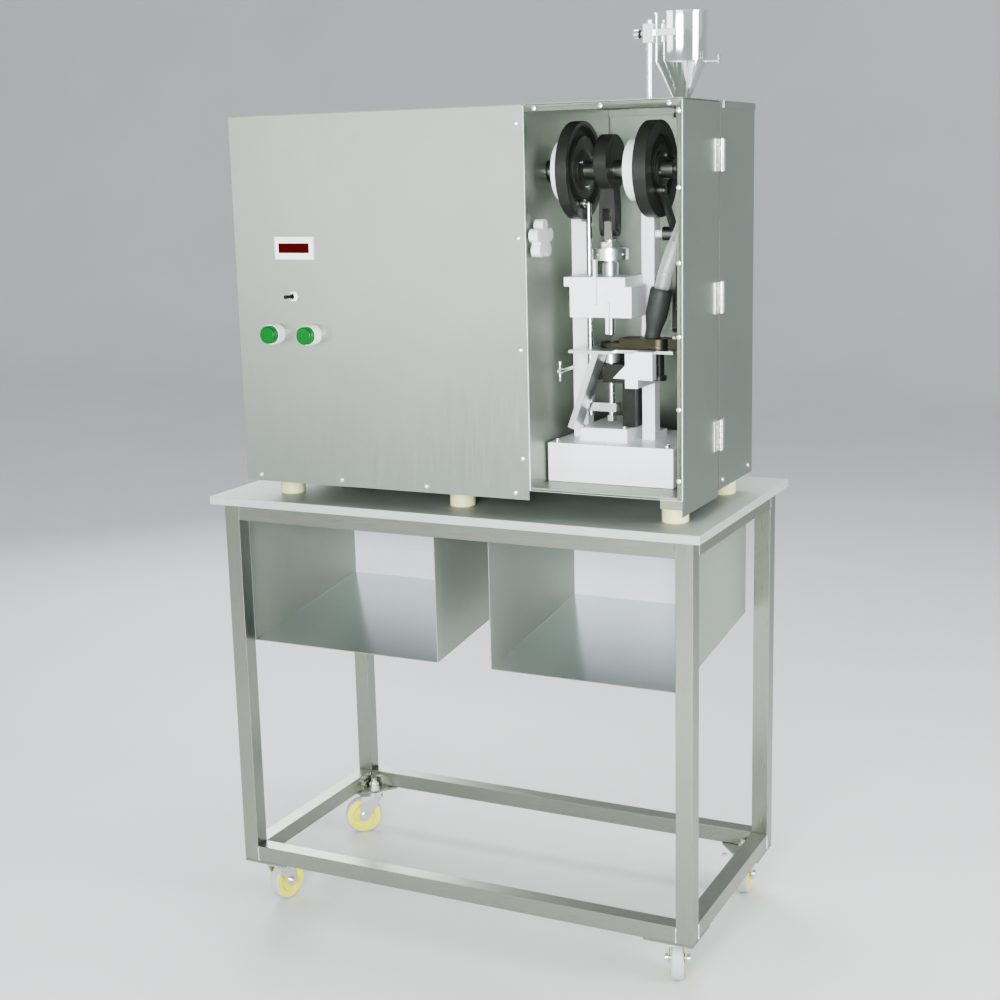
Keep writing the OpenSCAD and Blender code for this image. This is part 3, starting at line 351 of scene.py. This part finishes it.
def painted_glow_edge(name, tint):
    """The sawn and flame-polished edge of the acrylic, given a faint emission: a painted glow, as if the
    edge gathered light.
    """
    look = Look(name, tint, 0.18)
    # Painted glow: the edge emits light though it is no lamp
    look.set("Emission Color", (*tint, 1))
    look.set("Emission Strength", 0.6)
    streak = look.noise(1.0, (300, 300, 20), 3.0)
    look.mottle(streak, [c * 0.9 for c in tint], 0.6)
    look.bump(streak, 0.0001, 0.3)
    return look.mat


def clear_hose(name, tint):
    """Clear tube: you see through its middle, and its two sides show pale where the wall is seen edge on."""
    look = Look(name, tint, 0.12)
    look.set("IOR", 1.45)
    facing = look.node("ShaderNodeLayerWeight")
    facing.inputs["Blend"].default_value = 0.45
    haze = look.noise(40, detail=4.0)
    look.link(look.spread(facing.outputs["Facing"], 0.30, 0.95, 0.15, 0.85), look.bsdf.inputs["Alpha"])
    look.mottle(haze, [c * 0.85 for c in tint], 0.5)
    look.rough(haze, 0.08, 0.2)
    return look.mat


STEEL = (0.42, 0.465, 0.42)
FRAME_STEEL = (0.38, 0.40, 0.35)
CAM_CENTRE = Vector(JOINTS["main_shaft_turn"]["pos_m"])
DARK = (0.028, 0.030, 0.025)
MATS = {
    "panel": brushed("panel_steel", STEEL, (900, 900, 14)),
    "panel_flat": brushed("panel_steel_flat", STEEL, (14, 900, 900)),
    # A little darker than the panel steel: painted shade inside the cabinet
    "inner": brushed("inner_steel", (0.38, 0.42, 0.355), (900, 900, 14), 0.40, 0.5, 0.75),
    "worktop": brushed("worktop_steel", (0.46, 0.51, 0.475), (12, 900, 900), 0.48, 0.8, 0.1),
    "box": brushed("box_steel", (0.40, 0.44, 0.40), (12, 900, 900), 0.40, 0.6, 0.5),
    # Lit and shaded copies of the box steel: the back wall's pale lilac is a painted reflection, the end
    # walls' darker tone is painted shade, the floor's lighter tone is painted light
    "box_back_painted_reflection": brushed("box_back_steel", (0.76, 0.76, 0.83), (12, 900, 900), 0.55, 0.3, 0.0),
    "box_end_painted_shade": brushed("box_end_steel", (0.36, 0.40, 0.345), (900, 12, 900), 0.42, 0.6, 0.35),
    "box_floor_painted_light": brushed("box_floor_steel", (0.74, 0.80, 0.78), (12, 900, 900), 0.16, 0.5, 0.8),
    "legs": brushed("leg_steel", FRAME_STEEL, (900, 900, 16), 0.30, 0.7),
    "rails": brushed("rail_steel", FRAME_STEEL, (16, 700, 900), 0.30, 0.7),
    "weld": machined("weld_steel", (0.62, 0.63, 0.58), 0.3, 0.5),
    "bright": machined("bright_steel", (0.82, 0.84, 0.83), 0.18),
    "screw": machined("screw_steel", (0.90, 0.92, 0.91), 0.2, 0.85),
    "steel": machined("machined_steel", (0.74, 0.76, 0.76), 0.24),
    "mirror": mirror_steel("mirror_steel", (0.86, 0.88, 0.87)),
    "enamel": enamel("white_enamel", (0.93, 0.94, 0.96)),
    "motor": enamel("motor_enamel", (0.16, 0.25, 0.30), 0.4),
    "cam": turned("black_cam_steel", DARK, 0.34, 0.0, CAM_CENTRE, 0),
    # Steel darkened as painted shade, for parts that sit in the shade between other parts
    "shaft": machined("shaft_painted_shade_steel", (0.20, 0.215, 0.19), 0.26),
    # A darker copy of the panel steel: painted shade on the door's flange behind the pane
    "flange": brushed("flange_painted_shade_steel", (0.22, 0.25, 0.20), (900, 900, 14), 0.45, 0.5, 0.6),
    "hinge": machined("hinge_steel", (0.62, 0.66, 0.64), 0.34),
    "rod": painted("black_rod_paint", (0.022, 0.023, 0.019)),
    "bronze": machined("bronze", (0.095, 0.09, 0.06), 0.28, 0.5),
    # Dark paint on the feed shoe's pivot shaft; on the press frame's lower guide the same near black is
    # painted shade
    "dark_iron_and_painted_shade": painted("dark_iron_and_painted_shade", (0.020, 0.020, 0.016)),
    "acrylic": clear_sheet("clear_acrylic", (0.80, 0.92, 0.88)),
    # The pane's edges glow faintly: painted light
    "acrylic_edge_painted_glow": painted_glow_edge("acrylic_edge_painted_glow", (0.86, 0.95, 0.93)),
    "foot": moulded("foot_nylon", (0.80, 0.79, 0.47), 0.36),
    "white": moulded("white_plastic", (0.86, 0.87, 0.86), 0.3),
    "green": moulded("green_plastic", (0.004, 0.17, 0.022), 0.25, gloss=0.35),
    "black": moulded("black_plastic", (0.012, 0.012, 0.013), 0.38),
    "red": moulded("red_filter", (0.085, 0.004, 0.004), 0.4, gloss=0.12),
    "rubber": moulded("dark_rubber", (0.05, 0.056, 0.052), 0.55, 500),
    "belt": moulded("belt_rubber", (0.02, 0.02, 0.02), 0.6, 500),
    "hose": clear_hose("hose_plastic", (0.70, 0.76, 0.74)),
    "tread": moulded("grey_tread", (0.52, 0.54, 0.52), 0.5, 400),
    "hub": moulded("yellow_hub", (0.85, 0.80, 0.12), 0.34),
}


# ---------- shared mesh work ----------
WELD_GAP = 1e-6
FLAT_ANGLE = math.radians(0.6)
BEVEL_ANGLE = math.radians(32)
CREASE_ANGLE = math.radians(35)
FACING = 0.9


def add_object(name, mesh, body, mats):
    """An object of its own from a mesh, riding on a body, with its materials and slot."""
    made = bpy.data.objects.new(name, mesh)
    bpy.context.scene.collection.objects.link(made)
    mesh.materials.clear()
    for mat in mats:
        mesh.materials.append(MATS[mat])
    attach(made, body)
    return made


def body_of(node):
    return NODES[node]["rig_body"]


def rounded(node, mats, width, segments=2, pick=None):
    """The CAD node again, with its planar faces made whole and its sharp edges rounded.
    pick gives each face's place in mats."""
    made = add_object(node + "_rounded", NODES[node].data.copy(), body_of(node), mats)
    mesh = made.data
    mesh.name = node + "_rounded"
    bm = bmesh.new()
    bm.from_mesh(mesh)
    bmesh.ops.remove_doubles(bm, verts=bm.verts, dist=WELD_GAP)
    # Two solids that only touch along an edge are parted again there
    bmesh.ops.split_edges(bm, edges=[edge for edge in bm.edges if len(edge.link_faces) > 2])
    bmesh.ops.dissolve_limit(bm, angle_limit=FLAT_ANGLE, verts=bm.verts, edges=bm.edges)
    for face in bm.faces:
        face.smooth = True
        face.material_index = int(pick(face)) if pick else 0
    bm.to_mesh(mesh)
    bm.free()
    if "custom_normal" in mesh.attributes:
        mesh.attributes.remove(mesh.attributes["custom_normal"])
    bevel = made.modifiers.new("round", "BEVEL")
    bevel.width = width
    bevel.segments = segments
    bevel.limit_method = "ANGLE"
    bevel.angle_limit = BEVEL_ANGLE
    bevel.harden_normals = True
    bevel.use_clamp_overlap = True
    bevel.miter_outer = "MITER_ARC"
    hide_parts(node)
    return made


def dress(node, mat):
    """A CAD node whose shape is right as it is: only its material changes."""
    mesh = NODES[node].data
    mesh.materials.clear()
    mesh.materials.append(MATS[mat])


# ---------- whole nodes ----------
CABINET = lo("front_panel")
# Two corners of the box round the lower guide, in millimetres from the cabinet's corner
GUIDE_LOW = (640, 91, 107)
GUIDE_HIGH = (689, 150.6, 214.6)


def at_cabinet(x, y, z):
    """A point given in millimetres from the cabinet's lower front left corner."""
    return CABINET + Vector((x, y, z)) * MM


def is_guide_painted_shade(face):
    """The lower guide, cast with the press frame between its two cheeks; its faces are coloured near black
    as painted shade of the recess there.
    """
    centre = (face.calc_center_bounds() - CABINET) / MM
    return all(low < c < high for low, c, high in zip(GUIDE_LOW, centre, GUIDE_HIGH))


def is_display(face):
    """The red filter, which is the floor of the recess in the counter's face."""
    half_width = 30.5
    half_height = 8.5
    centre = face.calc_center_bounds()
    offset = (centre - mid("counter")) / MM
    recess = lo("counter").y + 0.4 * MM
    inside = abs(offset.x) < half_width and abs(offset.z) < half_height
    return inside and recess < centre.y < recess + 2 * MM


def is_behind_pane(face):
    """The turned-in flange of the door, which lies behind its clear pane; it gets a darker copy of the panel
    steel as painted shade.
    """
    flange_depth = 6.5 * MM
    return abs(face.normal.y) > 0.5 and face.calc_center_bounds().y < CABINET.y + flange_depth


def is_pivot_shaft(face):
    """The upright shaft under the feed shoe: the middle of each of its faces is below a limit."""
    limit = lo("feed_shoe").z + 42 * MM
    return face.calc_center_bounds().z < limit


def is_tongue(face):
    """The upper end of the ram, which goes into the fork of the connecting rod; it gets the darker shaft
    steel as painted shade inside the fork.
    """
    limit = hi("lock_ring").z + 8 * MM
    return face.calc_center_bounds().z > limit


def is_eccentric(face):
    """The disc set off the axis of the main shaft, with the wider one beside it. Round the shaft
    itself, a face is nearer the axis than reach, and its ends are farther along it."""
    reach = 17 * MM
    arm = face.calc_center_median() - CAM_CENTRE
    on_side = abs(face.normal.x) > FACING and abs(arm.x) < reach
    return on_side or math.hypot(arm.y, arm.z) > reach


def box_side(face):
    """Faces of a storage box: 1 inside the back wall, 2 end walls, 3 top of the floor, 0 the rest. Each gets
    a lit or shaded copy of the box steel: painted reflection on the back wall, painted shade on the end
    walls, painted light on the floor.
    """
    if face.normal.y < -FACING and face.calc_center_bounds().y > 0:
        return 1
    if abs(face.normal.x) > FACING:
        return 2
    return 3 if face.normal.z > FACING else 0


def is_pane_edge(face):
    """The thin sides of the clear pane, all round and at its holes, which get the painted glow."""
    return abs(face.normal.y) < 0.5


def is_hub(joint):
    """A test for the faces of a wheel that belong to its hub, near the axle of a joint."""
    centre = Vector(JOINTS[joint]["pos_m"])
    axle = Vector(JOINTS[joint]["axis"])
    hub_radius = 27.3 * MM

    def test(face):
        arm = face.calc_center_median() - centre
        return (arm - axle * arm.dot(axle)).length < hub_radius
    return test


# One material and the width of the rounding in millimetres
ROUNDED = {
    "trolley_legs": ("legs", 2.2), "trolley_rails": ("rails", 1.8), "corner_plates": ("rails", 1.0),
    "worktop": ("worktop", 1.6),
    "cabinet_floor": ("inner", 0.5), "cabinet_shell": ("panel", 0.5), "top_cover": ("panel_flat", 0.5),
    "front_panel": ("panel", 0.5), "partition": ("inner", 0.5), "right_side_panel": ("panel", 0.5),
    "machine_base": ("enamel", 2.0), "guide_block": ("enamel", 1.0),
    "die_platform": ("steel", 0.7), "tablet_chute": ("steel", 0.4), "hinges_fixed": ("hinge", 0.5),
    "hinges_door": ("hinge", 0.5), "control_collars": ("white", 1.2), "drive_motor": ("motor", 2.0),
    "motor_pulley": ("steel", 0.8), "main_pulley": ("steel", 0.8), "drive_belt": ("belt", 0.6),
    "con_rod": ("rod", 1.5), "lock_ring": ("steel", 0.8),
    "upper_punch": ("bright", 0.3), "lower_ram": ("bright", 0.5), "lift_rod": ("bright", 0.7),
    "feed_lever": ("shaft", 0.8),
    "cabinet_feet": ("foot", 1.0), "hopper_stand": ("bright", 0.8), "hopper_gate": ("bright", 0.4),
    "cable_gland": ("black", 0.6), "caster_stems": ("bright", 0.6), "lift_cam": ("cam", 1.2),
    "feed_cam": ("cam", 1.2), "clamp_knob": ("white", 2.6), "start_button": ("green", 1.4),
    "stop_button": ("green", 1.4), "hopper": ("mirror", 0.3), "hose_boot": ("rubber", 0.6),
    "toggle_lever": ("black", 0.3),
}
# The box steel and its lit and shaded copies: painted reflection, painted shade and painted light
BOX_MATS = ["box", "box_back_painted_reflection", "box_end_painted_shade", "box_floor_painted_light"]
# Several materials, the width of the rounding and the test that says which face has which
TWO_TONE = {
    # The lower guide's near black is painted shade of the recess between the cheeks
    "press_frame": (["enamel", "dark_iron_and_painted_shade"], 1.6, is_guide_painted_shade),
    "counter": (["white", "red"], 0.7, is_display),
    # The pane's thin sides get the glowing edge material: painted glow
    "door_window": (["acrylic", "acrylic_edge_painted_glow"], 0.3, is_pane_edge),
    # The flange behind the pane takes the darker steel: painted shade
    "door_leaf": (["panel", "flange"], 0.5, is_behind_pane),
    "feed_shoe": (["bronze", "dark_iron_and_painted_shade"], 0.9, is_pivot_shaft),
    # The main shaft's darker steel is painted shade between the cams
    "main_shaft": (["shaft", "rod"], 0.8, is_eccentric),
    "upper_ram": (["steel", "shaft"], 0.8, is_tongue),
    # The sides of each box get painted reflection, painted shade and painted light by the way they face
    "storage_box_left": (BOX_MATS, 0.8, box_side),
    "storage_box_right": (BOX_MATS, 0.8, box_side),
}
for node, (mat, width) in ROUNDED.items():
    rounded(node, [mat], width * MM, segments=4 if node == "clamp_knob" else 2)
for node, (mats, width, pick) in TWO_TONE.items():
    rounded(node, mats, width * MM, pick=pick)
CORNERS = {"fl": (-1, -1), "fr": (1, -1), "bl": (-1, 1), "br": (1, 1)}
for corner in CORNERS:
    rounded("caster_fork_" + corner, ["bright"], 0.8 * MM)
    rounded("caster_wheel_" + corner, ["tread", "hub"], 0.8 * MM, pick=is_hub("wheel_" + corner))
for node, mat in (("feed_hose", "hose"), ("panel_screws", "screw"), ("door_screws", "screw")):
    dress(node, mat)


# ---------- small parts ----------
UP = Vector((0, 0, 1))
FRONT = Vector((0, -1, 0))
RIGHT = Vector((1, 0, 0))


def lathe(name, outline, at, axis, body, mat, steps=32):
    """A body of revolution from (radius, height) pairs in millimetres, at a point along an axis.
    Up to eight steps it keeps its flats, as on a hexagon head."""
    bm = bmesh.new()
    turn = UP.rotation_difference(Vector(axis)).to_matrix()
    rings = []
    for radius, height in outline:
        count = 1 if radius == 0 else steps
        angles = [2 * math.pi * k / steps for k in range(count)]
        ring = [Vector((radius * math.cos(a), radius * math.sin(a), height)) * MM for a in angles]
        rings.append([bm.verts.new(Vector(at) + turn @ p) for p in ring])
    for low, high in zip(rings, rings[1:]):
        for k in range(steps):
            below = [low[k % len(low)], low[(k + 1) % len(low)]]
            above = [high[(k + 1) % len(high)], high[k % len(high)]]
            corners = list(dict.fromkeys(below + above))
            if len(corners) > 2:
                bm.faces.new(corners)
    bmesh.ops.recalc_face_normals(bm, faces=bm.faces)
    for face in bm.faces:
        face.smooth = steps > 8
    for edge in bm.edges:
        edge.smooth = edge.calc_face_angle(0) < CREASE_ANGLE
    mesh = bpy.data.meshes.new(name)
    bm.to_mesh(mesh)
    bm.free()
    return add_object(name, mesh, body, [mat])


def cap_screw(name, at, axis, body, radius):
    """Socket head cap screw, seen from its head."""
    socket = [(radius * 0.55, radius), (radius * 0.5, radius * 0.45), (0, radius * 0.4)]
    outline = [(0, -1), (radius, -1), (radius, radius * 0.9), (radius * 0.88, radius)] + socket
    return lathe(name, outline, at, axis, body, "screw", 24)


def hex_bolt(name, at, axis, body, radius, height):
    """Hexagon bolt head or nut with a low crown."""
    crown = [(radius * 0.86, height), (radius * 0.5, height + 0.15), (0, height + 0.15)]
    outline = [(0, -0.5), (radius, -0.5), (radius, height - 0.8)] + crown
    return lathe(name, outline, at, axis, body, "bright", 6)


def flush_screw(name, at, axis, body, radius=2.6):
    """Countersunk screw whose head stands a hair above its leaf, with a driver recess."""
    recess = [(radius * 0.42, 0.42), (radius * 0.2, -0.2), (0, -0.25)]
    outline = [(0, -0.6), (radius, -0.6), (radius, 0.1), (radius * 0.9, 0.35)] + recess
    return lathe(name, outline, at, axis, body, "screw", 24)


def cam_hub(cam, outline, screw_circle, screw_radius, first_angle):
    """Hub plate on the right face of a cam, with three cap screws that stand on its rim."""
    centre = Vector((hi(cam).x, SHAFT.y, SHAFT.z))
    rim = max(height for radius, height in outline if radius > screw_circle - screw_radius)
    lathe(cam + "_hub", outline, centre, RIGHT, "shaft", "cam", 64)
    for k in range(3):
        a = math.radians(first_angle + 120 * k)
        across = Vector((rim, screw_circle * math.cos(a), screw_circle * math.sin(a)))
        cap_screw(f"{cam}_screw_{k}", centre + across * MM, RIGHT, "shaft", screw_radius)


def weld_bead(name, x, y, low, high):
    """An upright run of overlapping weld ripples between two heights on the trolley."""
    radius = 1.5
    ripple = 1.1
    length = (high - low) / MM
    count = max(4, round(length / ripple))
    outline = [(0, 0)]
    for k in range(2 * count + 1):
        swell = 1.0 if k % 2 else 0.80
        edge = 0.7 if k in (0, 2 * count) else 1.0
        outline.append((radius * swell * edge, length * k / (2 * count)))
    outline.append((0, length))
    return lathe(name, outline, (x, y, low), UP, "machine", "weld", 10)


# Welds where the rails meet the legs, on the outside faces
legs_lo, legs_hi = lo("trolley_legs"), hi("trolley_legs")
rail_lo, rail_hi = lo("trolley_rails"), hi("trolley_rails")
tube = 30 * MM
top_weld = 42 * MM
low_weld = 29 * MM
clear_end = 1 * MM
seam_x = (legs_lo.x + tube, legs_hi.x - tube)
seam_y = (legs_lo.y + tube, legs_hi.y - tube)
top_run = (rail_hi.z - top_weld, rail_hi.z - clear_end)
low_run = (rail_lo.z + clear_end, rail_lo.z + low_weld)
for i, x in enumerate(seam_x):
    for j, y in enumerate((legs_lo.y, legs_hi.y)):
        for k, run in enumerate((top_run, low_run)):
            weld_bead(f"weld_long_{i}{j}{k}", x, y, *run)
for i, y in enumerate(seam_y):
    for j, x in enumerate((legs_lo.x, legs_hi.x)):
        for k, run in enumerate((top_run, low_run)):
            weld_bead(f"weld_cross_{i}{j}{k}", x, y, *run)

# Casters: bolts up into the corner plates, and a nut on each end of every axle
plate_z = lo("corner_plates").z
plate_hole = 28 * MM
axle_end = 16.2 * MM
for corner in CORNERS:
    stem = Vector(JOINTS["swivel_" + corner]["pos_m"])
    for k, (sx, sy) in enumerate(CORNERS.values()):
        spot = (stem.x + sx * plate_hole, stem.y + sy * plate_hole, plate_z)
        hex_bolt(f"plate_bolt_{corner}_{k}", spot, -UP, "machine", 5.2, 3.4)
    wheel = JOINTS["wheel_" + corner]
    centre = Vector(wheel["pos_m"])
    axle = Vector(wheel["axis"]).normalized()
    for k, side in enumerate((-1, 1)):
        spot = centre + axle * side * axle_end
        hex_bolt(f"axle_nut_{corner}_{k}", spot, axle * side, "fork_" + corner, 6.2, 3.4)

# Hinge screws, two on each leaf, in millimetres from the cabinet's corner
leaf_x = 812
door_leaf_y = 161
fixed_leaf_y = 193
for h, z in enumerate((93, 317, 541)):
    for k, dz in enumerate((-16, 16)):
        flush_screw(f"hinge_screw_door_{h}{k}", at_cabinet(leaf_x, door_leaf_y, z + dz), RIGHT, "door")
        flush_screw(f"hinge_screw_fixed_{h}{k}", at_cabinet(leaf_x, fixed_leaf_y, z + dz), RIGHT, "machine")

# Cams: a hub plate on each
SHAFT = at_cabinet(0, 105, 522)
lift_hub = [(0, -1), (33, -1), (33, 1.6), (31.5, 2.4), (19, 2.4), (18, 3.2), (0, 3.2)]
feed_hub = [(0, -1), (27, -1), (27, 2.4), (25.5, 3.4), (18, 3.4), (0, 3.4)]
cam_hub("lift_cam", lift_hub, screw_circle=25.5, screw_radius=3.2, first_angle=30)
cam_hub("feed_cam", feed_hub, screw_circle=21.5, screw_radius=2.4, first_angle=75)

# Press: bolts of the base and the pedestal, and screws of the die platform
base_top = 85
pedestal_top = 108
platform_top = 241
for i, x in enumerate((565, 757)):
    for j, y in enumerate((80, 238)):
        cap_screw(f"base_bolt_{i}{j}", at_cabinet(x, y, base_top), UP, "machine", 4.6)
for k, (x, y) in enumerate(((610, 52), (610, 130), (764, 130), (764, 72))):
    flush_screw(f"platform_screw_{k}", at_cabinet(x, y, platform_top), UP, "machine", 3.2)
for i, x in enumerate((601, 675)):
    cap_screw(f"pedestal_bolt_{i}", at_cabinet(x, 102, pedestal_top), UP, "machine", 3.6)

# Upper ram: set screws round the lock ring, and the collar on top of it
ring_centre = at_cabinet(652, 105, 390)
ring_radius = 29 * MM
ring_screws = 8
set_screw = [(0, -5), (2.8, -5), (2.8, -0.2), (2.2, 0.6), (1.2, 0.7), (1.0, -1), (0, -1)]
for k in range(ring_screws):
    a = 2 * math.pi * (k + 0.5) / ring_screws
    out = Vector((math.cos(a), math.sin(a), 0))
    spot = ring_centre + out * ring_radius
    lathe(f"ring_screw_{k}", set_screw, spot, out, "ram", "screw", 20)
collar = [(0, -1.2), (24, -1.2), (24.6, -0.4), (24.6, 1.4), (24, 2.0), (0, 2.0)]
lathe("ring_collar", collar, at_cabinet(652, 105, 399), UP, "ram", "bright", 64)

# Feed shoe: the bolt through its tail
hex_bolt("shoe_tail_bolt", at_cabinet(763, 98.4, 257.4), UP, "shoe", 4.6, 4.4)

# Adjusting handle on the left cheek
spindle = [(0, -2), (3, -2), (3, 60), (4.2, 61), (4.2, 72), (3.2, 73), (0, 73)]
grip_half = [(2.2, 8), (3, 15), (2.2, 16.6), (0, 17)]
grip = [(radius, -height) for radius, height in reversed(grip_half)] + [(2.4, 0)] + grip_half
lathe("adjuster_spindle", spindle, at_cabinet(576, 138, 203), FRONT, "machine", "bright", 24)
lathe("adjuster_grip", grip, at_cabinet(576, 70, 203), UP, "machine", "screw", 24)

# Hopper: thumb screw of the stand's clamp, and the band that holds the hose on the spout
thumb_screw = [(0, 0), (2.2, 0), (2.2, 6), (6.2, 6.6), (6.8, 7.6), (6.8, 13.4), (6.2, 14.4), (0, 14.6)]
band = [(12.0, -4), (12.7, -4), (12.9, -3.4), (12.9, 3.4), (12.7, 4), (12.0, 4), (12.0, -4)]
lathe("stand_thumb_screw", thumb_screw, at_cabinet(723, 76, 724), -RIGHT, "machine",
      "black", 10)
lathe("hose_band", band, at_cabinet(767, 120, 603), UP, "machine", "bright", 48)

make_camera()
make_light()
make_floor()
